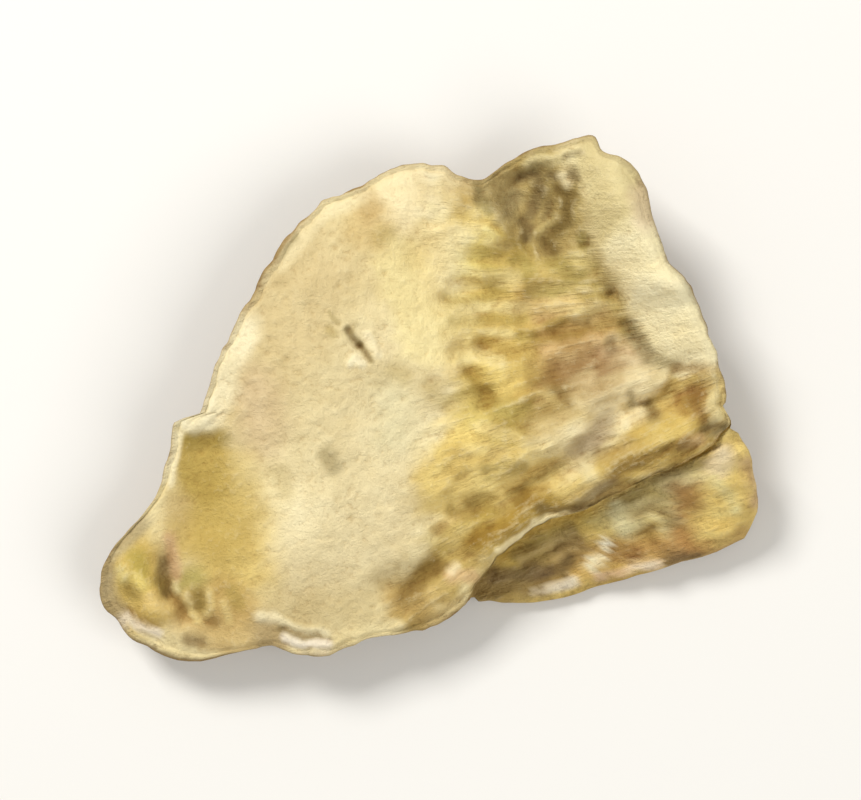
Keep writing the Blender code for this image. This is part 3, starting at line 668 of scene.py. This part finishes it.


# The slice's colours
# Cream pith, golden fibre, ochre and olive where sap dried, a pale curled rim, and brown skin, with
# some painted shade and painted highlights among the zones.
# Each zone is a line in plan, how far it spreads, how soft its edge is, its colour, and how
# strongly it covers what lies under it. The strokes are laid over the zones.
FACE_ZONES = (
    (((-8.2, 0.5), (-6.2, 5.4)), 3.0, 0.5, "#d2bb86", 0.9),
    (((-7.9, 0.2), (-7.3, -1.8)), 1.1, 0.8, "#d8bf92", 0.8),
    (((-4.5, -7.0), (-3.5, -3.0), (-1.6, 1.0)), 3.0, 0.45, CREAM, 1.0),
    (((-6.5, -8.8), (-3.5, -7.2), (-1.8, -6.0)), 1.6, 0.8, "#dcc998", 0.8),
    (((-5.2, -2.2), (-4.2, 0.4), (-0.8, 0.4)), 1.9, 0.8, "#d6c28e", 0.6),
    # painted shade along the lower edge, where the face curves away
    (((-6.6, -9.7), (-3.8, -9.7), (-1.8, -9.2)), 1.1, 0.9, "#c6b07a", 0.7),
    (((-1.2, 6.6), (-0.3, 2.8)), 1.3, 0.5, BUTTER, 0.8),
    (((-1.6, 0.2), (-1.7, -1.6)), 1.0, 0.9, "#e3d9ac", 0.6),
    (((-1.0, 9.2), (0.6, 8.8)), 1.9, 0.4, "#efdcaa", 0.9),
    # tan at the top lobe's left foot: partly its own tone, partly painted shade in the furrow there
    (((-3.1, 7.9), (-2.6, 7.7)), 0.9, 0.7, TAN, 0.7),
    (((-3.0, 9.2), (-2.8, 8.6)), 0.5, 0.7, "#bf9e60", 0.7),
    # golden fibre
    (((1.9, 6.6), (3.6, 4.6), (3.4, 1.8), (3.4, -1.8), (1.9, -3.6)), 2.5, 0.4, GOLD, 0.95),
    (((1.8, 6.4), (2.6, 5.6)), 0.8, 0.8, "#c9b662", 0.6),
    (((1.6, 0.2), (2.8, -0.9), (3.6, -1.2)), 0.9, 0.8, "#b49c50", 0.7),
    (((1.1, 5.2), (1.5, 2.8)), 0.8, 0.7, BUTTER, 0.6),
    (((0.6, 8.2), (0.6, 5.6)), 1.0, 0.9, "#f2e0aa", 0.7),
    (((0.6, -3.9), (3.4, -3.7), (5.4, -3.4)), 1.0, 0.8, "#f4da8a", 0.85),
    (((5.6, 4.6), (7.6, 3.4)), 1.5, 0.5, TAN, 0.9),
    (((3.6, 7.0), (6.6, 6.0)), 1.1, 0.6, "#c4ac5e", 0.7),
    (((5.8, 2.4), (7.6, 2.5)), 0.9, 0.8, ROSE, 0.6),
    (((5.2, 2.6), (6.6, 3.1)), 0.5, 0.8, "#b08c48", 0.7),
    (((7.9, 1.9), (8.9, 1.9)), 0.6, 0.8, "#d4b08a", 0.6),
    # a soft brownish streak of painted shade across the smooth pith
    (((-1.9, 1.2), (-0.8, 0.9), (0.5, 0.0)), 0.6, 1.0, "#c8b27c", 0.55),
    # saddle, and the brown corner beyond it
    (((6.4, -1.3), (7.8, -0.1), (9.6, 0.9)), 1.3, 0.5, DRAB, 0.9),
    (((5.0, -2.3), (6.2, -2.1)), 0.7, 0.8, "#e8d6a0", 0.6),
    (((6.0, 0.9), (7.4, 0.9)), 0.9, 0.9, "#b89a66", 0.75),
    (((5.0, -0.9), (6.4, -0.6)), 0.8, 0.9, "#c6aa66", 0.7),
    (((7.6, 1.9), (9.4, 2.1)), 0.7, 0.9, "#b89c70", 0.6),
    # painted shadow in the fold below the saddle
    (((6.8, -2.4), (7.8, -1.6)), 0.6, 0.8, "#b39c72", 0.8),
    (((9.9, -0.8), (11.6, 0.2), (12.6, 0.6)), 1.1, 0.35, "#bd9f54", 0.9),
    (((11.6, -0.9), (12.2, -0.2)), 0.7, 0.7, "#b58550", 0.7),
    (((10.6, -1.1), (11.6, -0.7)), 0.5, 0.9, "#a5854e", 0.6),
    # furrows and pleats beside the lip
    (((8.4, -3.2), (10.2, -2.2), (12.0, -1.4)), 1.1, 0.5, "#d2b25e", 0.9),
    (((4.4, -4.8), (6.4, -4.1), (7.6, -3.6)), 0.7, 0.6, "#d8bc70", 0.9),
    (((7.0, -4.7), (7.8, -4.3), (8.3, -3.9)), 0.6, 0.7, "#9c8662", 0.8),
    (((6.2, -5.0), (7.6, -4.7), (9.2, -3.8), (11.0, -3.0), (12.9, -2.0)), 0.3, 0.8, "#a98e4c", 0.7),
    (((-0.6, -9.6), (1.4, -7.6), (3.4, -6.2), (5.0, -5.4)), 1.0, 0.5, "#b99a4e", 0.9),
    (((0.6, -6.6), (2.8, -5.9)), 0.8, 0.7, "#bda459", 0.6),
    (((2.4, -6.3), (4.0, -5.6), (5.4, -5.0)), 0.7, 0.7, "#a28030", 0.85),
    (((-1.6, -8.9), (-0.7, -8.4), (0.2, -7.6)), 0.55, 0.9, "#a88a46", 0.8),
    (((-1.4, -9.3), (-0.2, -9.6)), 0.7, 0.8, TAN, 0.6),
    (((0.9, -8.3), (2.0, -8.2)), 0.35, 0.7, ROSE, 0.8),
    (((1.0, -7.9), (1.2, -7.7)), 0.25, 0.8, "#efdcae", 0.6),
    # curled rim
    (((8.0, 10.4), (8.5, 8.8), (9.2, 6.9), (10.2, 5.2)), 1.5, 0.25, "#dac890", 1.0),
    (((9.4, 6.6), (10.6, 4.8), (11.8, 2.7)), 1.5, 0.3, "#fdeebc", 1.0),
    # palest band across the rim: its pale tone, lightened further as painted light over the shade
    # of the rim's slope
    (((9.6, 5.0), (11.2, 4.7)), 0.6, 0.8, "#fff2c4", 0.9),
    (((9.5, 9.2), (9.8, 8.2)), 0.5, 0.8, "#d8bfa0", 0.5),
    # painted shade along the furrow at the foot of the rim
    (((6.9, 7.6), (7.9, 5.2), (8.8, 3.2)), 0.35, 0.8, OLIVE, 0.4),
    (((12.9, 1.2), (13.4, -0.6)), 0.35, 0.6, "#efd48a", 0.9),
    # bark hollow
    (HOLLOW_LINE, 1.9, 0.2, "#b8a062", 1.0),
    (((3.0, 9.9), (3.4, 9.0)), 0.8, 0.6, "#b5a16c", 0.8),
    # ochre patch, lump and lower left edge
    (((-9.6, -5.6), (-9.0, -7.6)), 1.8, 0.6, GOLD, 0.8),
    (((-10.5, -2.6), (-10.3, -3.6)), 1.3, 0.25, "#b39544", 0.9),
    (((-10.4, -4.0), (-10.0, -6.0)), 1.5, 0.7, "#bb9f50", 0.8),
    (((-8.6, -3.3), (-8.3, -5.2)), 0.9, 0.9, "#c6aa60", 0.6),
    (((-11.7, -4.8), (-11.5, -6.8)), 0.6, 0.9, "#bca068", 0.6),
    (((-10.8, -6.6), (-9.4, -7.2)), 1.2, 0.9, "#c4a75a", 0.7),
    (((-11.4, -9.4), (-9.4, -9.8)), 1.4, 0.6, "#b7934c", 0.8),
    (((-11.3, -8.3), (-10.7, -8.2)), 0.5, 0.8, "#a99c50", 0.7),
    (((-9.6, -11.0), (-7.4, -11.0)), 0.8, 0.6, TAN, 0.8),
    # golden lump: its gold darkened a little as painted shade
    (((-13.7, -7.2), (-13.3, -9.7)), 1.3, 0.4, "#d0b05a", 0.9),
    (((-14.9, -7.6), (-15.0, -9.0), (-14.4, -9.9)), 0.45, 0.7, "#a8946c", 0.8),
    (((-13.2, -5.6), (-14.5, -7.1)), 0.35, 0.7, "#b6a47a", 0.8),
    # left rim
    (((-10.2, -0.6), (-9.4, 1.5), (-8.6, 3.2)), 0.8, 0.6, IVORY, 0.8),
    (((-7.6, 5.6), (-5.0, 8.5), (-3.2, 9.4)), 0.4, 0.7, CREAM, 0.7),
    (((-11.6, -1.6), (-12.0, -3.8)), 0.2, 0.7, IVORY, 0.7),
)
LOBE_ZONES = (
    (((3.0, -9.0), (14.0, -5.0)), 9.0, 0.3, "#e8c976", 1.0),
    (((6.8, -7.6), (9.0, -7.0), (11.2, -6.8)), 0.9, 0.7, "#c79f5a", 0.8),
    (((11.2, -4.0), (11.8, -5.4), (11.4, -6.6)), 0.7, 0.7, "#c39a5a", 0.7),
    # painted shadow on the lobe's left tip, under the lip
    (((2.2, -8.8), (4.6, -8.2)), 1.1, 0.6, "#967a48", 0.8),
    (((3.6, -7.2), (5.2, -6.4), (7.2, -5.5)), 0.9, 0.6, "#d8b85e", 0.85),
    (((6.2, -6.9), (6.9, -6.5)), 0.5, 0.8, "#86693a", 0.8),
    (((8.6, -5.2), (10.8, -4.6)), 0.9, 0.6, "#c2ae6e", 0.7),
    # paler strip just below the crack: painted light over the shade that the lip casts there
    (((10.9, -4.1), (12.3, -3.5)), 0.45, 0.8, "#f4dfa0", 0.8),
    (((7.6, -7.0), (9.4, -6.6)), 0.5, 0.9, "#b48e4c", 0.6),
    (((14.4, -3.2), (14.9, -4.8)), 0.4, 0.6, "#dcb98a", 0.8),
    # painted shadow along the lobe's lower edge, at its right
    (((10.8, -7.0), (13.4, -6.9)), 0.4, 0.8, "#b5905a", 0.7),
)
# pale crumbs that lie over the strokes of the lobe
LOBE_CRUMBS = (
    (((7.45, -7.65), (7.6, -7.4)), 0.36, 0.3, "#fff0c4", 1.0),
    (((8.0, -6.75), (8.1, -6.6)), 0.22, 0.3, "#fff0c8", 1.0),
    (((5.6, -8.7), (6.4, -8.5)), 0.14, 0.4, "#f8e8c8", 1.0),
    (((9.3, -7.9), (10.3, -7.65)), 0.12, 0.4, "#f8e2bc", 0.9),
)
STROKE_SPREAD = 1.2
STROKE_SOFT = 0.7


def stroke_zones(strokes):
    """A zone for each stroke, a little wider than its hump."""
    return tuple((line, STROKE_SPREAD * half_width, STROKE_SOFT, code, strength)
                 for line, half_width, _, code, strength in strokes)


PALEST = 0.95
BASE_FLESH = "#e8d59e"
BARK_COLOUR = "#a88a54"
SKIN_COLOUR = "#98733f"
EDGE_SWAY_X = ((0.4, 1.2, 1.2, 1.0, 61), (0.2, 0.4, 0.4, 0.5, 62))
EDGE_SWAY_Y = ((0.4, 1.2, 1.2, 1.0, 63), (0.2, 0.4, 0.4, 0.5, 64))
COMBING = ((0.35, 1.4, 0.35, 0.5, 65), (0.25, 0.7, 0.25, 0.4, 70))
MOTTLING = ((0.1, 1.4, 1.4, 1.0, 66), (0.09, 0.6, 0.6, 0.6, 67), (0.05, 0.3, 0.3, 0.3, 68))


def linear(code):
    """An sRGB hex colour as linear red, green and blue."""
    parts = np.array([int(code[i:i + 2], 16) for i in (1, 3, 5)]) / 255.0
    return np.where(parts <= 0.04045, parts / 12.92, ((parts + 0.055) / 1.055) ** 2.4)


def zoned(colour, zones, x, y, z, gold, along, across):
    """The colour with each zone laid over it: full near its line, and gone beyond its spread.

    Edges wander by two sizes of noise and are combed out along the grain, most where it is gold.
    The noise changes with z too, so that no colour runs straight down a wall."""
    sway_x = layered(x, y, z, EDGE_SWAY_X)
    sway_y = layered(x, y, z, EDGE_SWAY_Y)
    combed = layered(along, across, z, COMBING)
    mottled = layered(x, y, z, MOTTLING) * (0.7 + 0.8 * gold)
    streaked = 0.25 * gold * noise(along / 2.4, (across + sway_y) / 0.7, z / 0.5, 69)
    for line, spread, soft, code, strength in zones:
        wander = min(1.0, 0.15 + spread) * (0.4 + 0.6 * gold)
        ragged = min(1.0, spread) ** 1.6 * (0.4 + 0.6 * gold)
        away = distance_to(line, x + wander * sway_x, y + wander * sway_y) + ragged * combed
        cover = strength * smooth_step((1.0 + soft - away / spread) / (2.0 * soft))
        colour = colour + (linear(code) - colour) * cover[..., None]
    colour = colour * (1.06 + (mottled + streaked)[..., None] * (0.8, 1.0, 1.4))
    return colour * np.minimum(1.0, PALEST / colour.max(axis=-1, keepdims=True))


def crest(height, x, y, step):
    """How far a place stands above its four neighbours at a step, in mm: less than 0 in furrows."""
    around = (height(x + step, y) + height(x - step, y) + height(x, y + step)
              + height(x, y - step)) / 4.0
    return height(x, y) - around


x_at, y_at = skin_points[..., 0], skin_points[..., 1]
plan_x, plan_y = plan_points[..., 0], plan_points[..., 1]
away_at, across_at = grain(plan_x, plan_y)
along_at, sideways_at = root_grain(x_at, y_at)
gold_at = golden_share(plan_x, plan_y)
face_tint = zoned(np.broadcast_to(linear(BASE_FLESH), skin_points.shape),
                  FACE_ZONES + stroke_zones(FACE_STROKES),
                  plan_x, plan_y, 0.0 * plan_x, gold_at, away_at, across_at)
lobe_tint = zoned(np.broadcast_to(linear(BARK_COLOUR), skin_points.shape),
                  LOBE_ZONES + stroke_zones(LOBE_STROKES) + LOBE_CRUMBS,
                  x_at, y_at, skin_points[..., 2], gold_at, along_at, sideways_at)
lobe_cover = (lobe_share(turn_grid) * smooth_step((down_grid - 0.1) / 0.1))[..., None]
skin_tint = np.broadcast_to(linear(SKIN_COLOUR), skin_points.shape)
bark_tint = linear(BARK_COLOUR) + (lobe_tint - linear(BARK_COLOUR)) * lobe_cover
wall_tint = face_tint + (bark_tint - face_tint) * smooth_step(down_grid / 0.2)[..., None]
tint = wall_tint + (skin_tint - wall_tint) * smooth_step((down_grid - 0.75) / 0.25)[..., None]
# each crest is divided by the height, in mm, that counts as a full one
face_crest = (crest(face_detail, plan_x, plan_y, 0.3) / 0.1
              + crest(face_relief, plan_x, plan_y, 0.9) / 0.45)
lobe_crest = crest(lobe_detail, x_at, y_at, 0.3) / 0.18
skin_crest = crest(skin_detail, x_at, y_at, 0.3) / 0.08 + crest(skin_relief, x_at, y_at, 0.9) / 0.25
# furrow is below 0 in furrows and above 0 on crests: the root materials paint shade into the
# furrows and a highlight onto the crests
furrow = np.where(down_grid < 0.01, face_crest,
                  skin_crest + (lobe_crest - skin_crest) * lobe_cover[..., 0] * (down_grid < 0.9))


def point_attribute(name, kind, field, grid, size):
    """Stores one value a vertex: the grid's rows, then its values at the two middles."""
    first = grid[0].mean(axis=0, keepdims=True)
    last = grid[-1].mean(axis=0, keepdims=True)
    values = np.concatenate([grid.reshape(-1, size), first.reshape(1, size), last.reshape(1, size)])
    mesh.attributes.new(name, kind, "POINT").data.foreach_set(
        field, values.astype(np.float32).ravel())


alpha = np.ones(tint.shape[:-1] + (1,))
point_attribute("tint", "FLOAT_COLOR", "color", np.concatenate([tint, alpha], axis=-1), 4)
point_attribute("furrow", "FLOAT", "value", furrow[..., None], 1)
point_attribute("gold", "FLOAT", "value", gold_at[..., None], 1)
point_attribute("grain", "FLOAT_VECTOR", "vector",
                np.stack([away_at, across_at, 0.0 * x_at], axis=-1), 3)
point_attribute("root_grain", "FLOAT_VECTOR", "vector",
                np.stack([along_at, sideways_at, skin_points[..., 2]], axis=-1), 3)


def node(tree, kind, links=None, **settings):
    """Adds a node, gives it settings (an input's by its name or number) and links its inputs."""
    made = tree.nodes.new(kind)
    for name, value in settings.items():
        setattr(made, name, value)
    for socket, source in (links or {}).items():
        if hasattr(source, "is_output"):
            tree.links.new(source, made.inputs[socket])
        else:
            made.inputs[socket].default_value = source
    return made


MEAL_MM = 0.25
PATCH_MM = 2.0


def root_material(name, stretched, fine_mm, long_mm, plain, dark, pale, roughness, relief_mm):
    """A dried root surface: its tint, streaked along its grain, with painted shade in furrows and a
    painted highlight on crests.

    plain is how much of the streaks is left where the gold attribute is 0. Real fibres and grains
    are about 0.1 mm wide, and are drawn two to three times that so that they show."""
    material = bpy.data.materials.new(name)
    material.use_nodes = True
    tree = material.node_tree
    shader = tree.nodes["Principled BSDF"]
    shader.inputs["Roughness"].default_value = roughness
    shader.inputs["IOR"].default_value = 1.45
    shader.inputs["Specular IOR Level"].default_value = 0.3
    tint_at = node(tree, "ShaderNodeAttribute", attribute_name="tint").outputs["Color"]
    furrow_at = node(tree, "ShaderNodeAttribute", attribute_name="furrow").outputs["Fac"]
    gold_at = node(tree, "ShaderNodeAttribute", attribute_name="gold").outputs["Fac"]
    grain_at = node(tree, "ShaderNodeAttribute", attribute_name=stretched).outputs["Vector"]
    place = node(tree, "ShaderNodeTexCoord").outputs["Object"]
    squeeze = node(tree, "ShaderNodeVectorMath", {0: grain_at, 1: (1 / long_mm, 1 / fine_mm, 1.0)},
                   operation="MULTIPLY").outputs["Vector"]
    streaks, grains, patches = [
        node(tree, "ShaderNodeTexNoise", {"Vector": vector, "Scale": scale, "Detail": 5.0,
                                          "Roughness": fineness}).outputs["Fac"]
        for vector, scale, fineness in ((squeeze, 1.0, 0.65), (place, 1 / (MEAL_MM * MM), 0.7),
                                        (place, 1 / (PATCH_MM * MM), 0.6))]
    share = node(tree, "ShaderNodeMapRange", {"Value": gold_at, "To Min": plain}).outputs["Result"]
    combed, grained, patched = [
        node(tree, "ShaderNodeMapRange", {"Value": pattern, "From Min": 0.3, "From Max": 0.7,
                                          "To Min": -most, "To Max": most}).outputs["Result"]
        for pattern, most in ((streaks, 1.4), (grains, 1.2), (patches, 0.6))]
    streaked = node(tree, "ShaderNodeMath", {0: combed, 1: share}, operation="MULTIPLY").outputs[0]
    furrow_shade_and_streaks = node(tree, "ShaderNodeMath", {0: furrow_at, 1: streaked}, operation="ADD").outputs[0]
    mottled = node(tree, "ShaderNodeMath", {0: grained, 1: patched}, operation="ADD").outputs[0]
    level = node(tree, "ShaderNodeMath", {0: furrow_shade_and_streaks, 1: mottled}, operation="ADD").outputs[0]
    # darker and paler: painted shade in furrows and a painted highlight on crests, mixed with the
    # root's own streaks and grains
    darker = node(tree, "ShaderNodeMapRange", {"Value": level, "From Min": -0.3,
                                               "From Max": -4.8}).outputs["Result"]
    paler = node(tree, "ShaderNodeMapRange", {"Value": level, "From Min": 0.4, "From Max": 3.2,
                                              "To Max": 0.45}).outputs["Result"]
    shaded = node(tree, "ShaderNodeMix", {0: darker, 6: tint_at, 7: (*linear(dark), 1.0)},
                  data_type="RGBA", blend_type="MULTIPLY").outputs[2]
    lit = node(tree, "ShaderNodeMix", {0: paler, 6: shaded, 7: (*linear(pale), 1.0)},
               data_type="RGBA").outputs[2]
    tree.links.new(lit, shader.inputs["Base Color"])
    height = node(tree, "ShaderNodeMath", {0: grained, 1: 0.6, 2: streaked},
                  operation="MULTIPLY_ADD").outputs[0]
    relief = node(tree, "ShaderNodeBump", {"Height": height, "Strength": 0.8,
                                           "Distance": relief_mm * MM}).outputs["Normal"]
    tree.links.new(relief, shader.inputs["Normal"])
    return material


# Dried root flesh, cut with a knife: matt and mealy, with fibres combed out where it is gold.
flesh = root_material("dried_root_flesh", "grain", fine_mm=0.25, long_mm=1.8, plain=0.18,
                      dark="#b08d48", pale="#f3e3b4", roughness=0.75, relief_mm=0.06)
# Dried root bark, shrunk as it dried: browner and rougher, with streaks along the whole root.
bark = root_material("dried_root_bark", "root_grain", fine_mm=0.35, long_mm=2.2, plain=0.9,
                     dark="#8f6d3e", pale="#e3c896", roughness=0.8, relief_mm=0.09)
mesh.materials.append(flesh)
mesh.materials.append(bark)
wall_start = (FACE_ROWS - 1) * AROUND
is_bark = np.zeros(len(mesh.polygons), np.int32)
is_bark[wall_start:len(quads)] = 1
is_bark[-AROUND:] = 1
mesh.polygons.foreach_set("material_index", is_bark)
root_slice = bpy.data.objects.new("root_slice", mesh)
bpy.context.scene.collection.objects.link(root_slice)
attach(root_slice, "root")
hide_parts("chicory_root_slice")


# The floor
# A plain pale table top under the slice, matt, so that it shows nothing but soft shade.
FLOOR_HALF_M = 3.0
CORNERS = ((-1, -1), (1, -1), (1, 1), (-1, 1))
floor_mesh = bpy.data.meshes.new("floor")
floor_mesh.from_pydata([(x * FLOOR_HALF_M, y * FLOOR_HALF_M, 0.0) for x, y in CORNERS], [],
                       [(0, 1, 2, 3)])
floor_finish = bpy.data.materials.new("matt_table_top")
floor_finish.use_nodes = True
floor_shader = floor_finish.node_tree.nodes["Principled BSDF"]
floor_shader.inputs["Base Color"].default_value = (*linear("#e9e6df"), 1.0)
floor_shader.inputs["Roughness"].default_value = 0.9
floor_mesh.materials.append(floor_finish)
floor = bpy.data.objects.new("floor", floor_mesh)
bpy.context.scene.collection.objects.link(floor)


# Light and camera
# A soft lamp high beyond the narrow end, a weaker one on the near side, and a pale room. The
# camera looks straight down on the cut face with the narrow end at the top of the picture.
ROOM_STRENGTH = 0.36
# name, place and side in metres, and watts
LAMPS = (
    ("key_lamp", (-0.14, 0.16, 0.20), 0.09, 0.73),
    ("fill_lamp", (0.18, -0.10, 0.22), 0.2, 0.42),
)
for lamp_name, lamp_place, lamp_side, lamp_watts in LAMPS:
    lamp_data = bpy.data.lights.new(lamp_name, "AREA")
    lamp_data.size = lamp_side
    lamp_data.energy = lamp_watts
    lamp = bpy.data.objects.new(lamp_name, lamp_data)
    lamp.location = lamp_place
    lamp.rotation_mode = "QUATERNION"
    lamp.rotation_quaternion = lamp.location.to_track_quat("Z", "Y")
    bpy.context.scene.collection.objects.link(lamp)
room = bpy.data.worlds.new("pale_room")
room.use_nodes = True
room.node_tree.nodes["Background"].inputs["Color"].default_value = (1.0, 1.0, 1.0, 1.0)
room.node_tree.nodes["Background"].inputs["Strength"].default_value = ROOM_STRENGTH
bpy.context.scene.world = room
bpy.context.scene.view_settings.view_transform = "Standard"

PICTURE_WIDTH_MM = 39.0
LENS_MM = 120.0
FACE_HEIGHT_MM = 4.0
camera_data = bpy.data.cameras.new("camera")
camera_data.lens = LENS_MM
camera_data.clip_start = 0.005
camera = bpy.data.objects.new("camera", camera_data)
camera_distance = PICTURE_WIDTH_MM * LENS_MM / camera_data.sensor_width
camera.location = (0.0, 0.0, (FACE_HEIGHT_MM + camera_distance) * MM)
bpy.context.scene.collection.objects.link(camera)
bpy.context.scene.camera = camera
